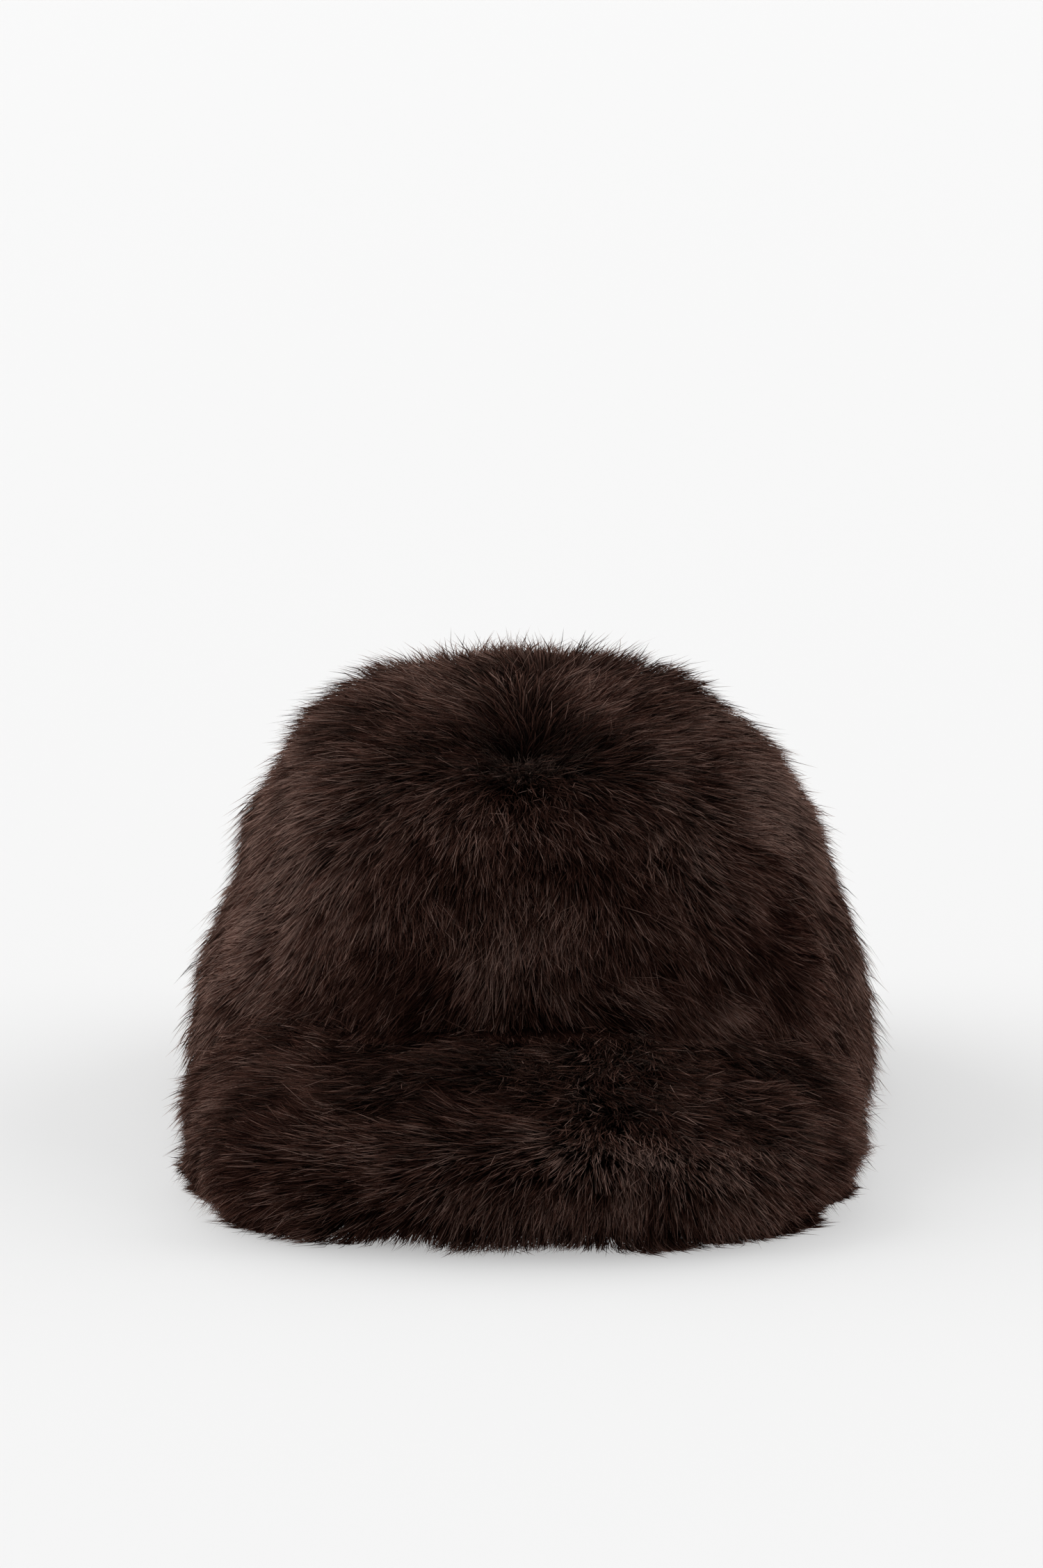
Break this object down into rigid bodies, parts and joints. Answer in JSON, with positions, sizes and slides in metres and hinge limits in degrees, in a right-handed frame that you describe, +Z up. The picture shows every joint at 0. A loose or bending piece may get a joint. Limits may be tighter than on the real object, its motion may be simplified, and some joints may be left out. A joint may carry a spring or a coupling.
{
  "type": "faux fur baseball cap",
  "caption": "Soft rounded cap of sewn gores with a broad curved peak in front, covered all over in deep dark brown faux fur, open below for the head.",
  "frame": {"origin": "on the surface that the cap rests on, below the middle of its length", "axes": "+Z up; the peak points to -Y and the back of the crown to +Y; +X is the wearer's left"},
  "size_m": [0.2043, 0.3031, 0.1236],
  "materials": {
    "fur": "long dark brown acrylic pile, matt with a soft sheen",
    "peak_cloth": "plain dark brown woven cloth over a stiff board"
  },
  "bodies": {
    "root": {"panel_front_right": "fur", "panel_front_left": "fur", "panel_side_right": "fur", "panel_side_left": "fur", "panel_back_right": "fur", "panel_back_left": "fur", "peak_fur_cover": "fur", "peak_board": "peak_cloth"}
  },
  "joints": []
}
